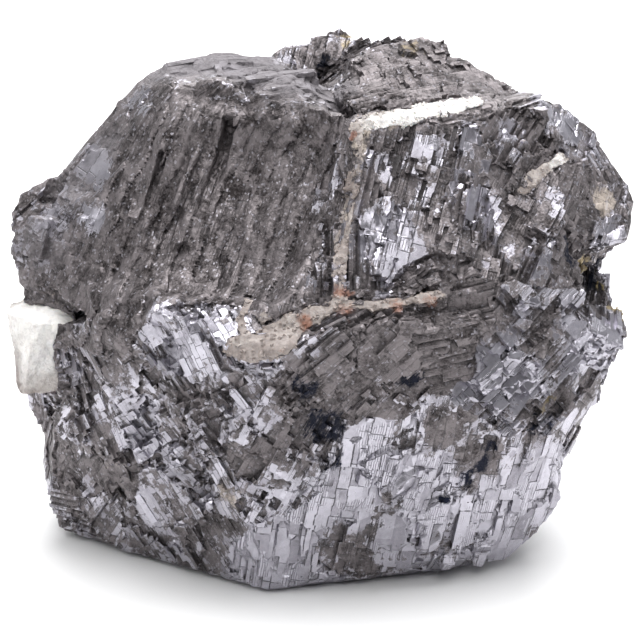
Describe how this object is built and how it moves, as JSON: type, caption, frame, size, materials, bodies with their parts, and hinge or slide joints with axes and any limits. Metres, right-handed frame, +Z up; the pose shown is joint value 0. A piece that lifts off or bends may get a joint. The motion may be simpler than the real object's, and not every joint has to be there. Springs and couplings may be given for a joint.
{
  "type": "galena specimen",
  "caption": "Hand-sized broken lump of massive galena with stepped cleavage faces and white calcite veins, standing on a flat broken face.",
  "frame": {"origin": "on the resting plane, under the middle of the specimen's box", "axes": "+X to the right across the front, the longest way; +Z up; -Y towards the viewer of the front"},
  "size_m": [0.081, 0.0558, 0.0657],
  "materials": {
    "galena": "metallic lead-grey mineral, mirror-bright on fresh cleavage steps and dull grey-brown where tarnished",
    "calcite": "white to pinkish-cream granular calcite with a dull waxy shine and rust-orange iron stains"
  },
  "bodies": {
    "root": {"galena_mass": "galena", "calcite_vein": "calcite", "calcite_veinlet": "calcite", "calcite_block": "calcite"}
  },
  "joints": []
}
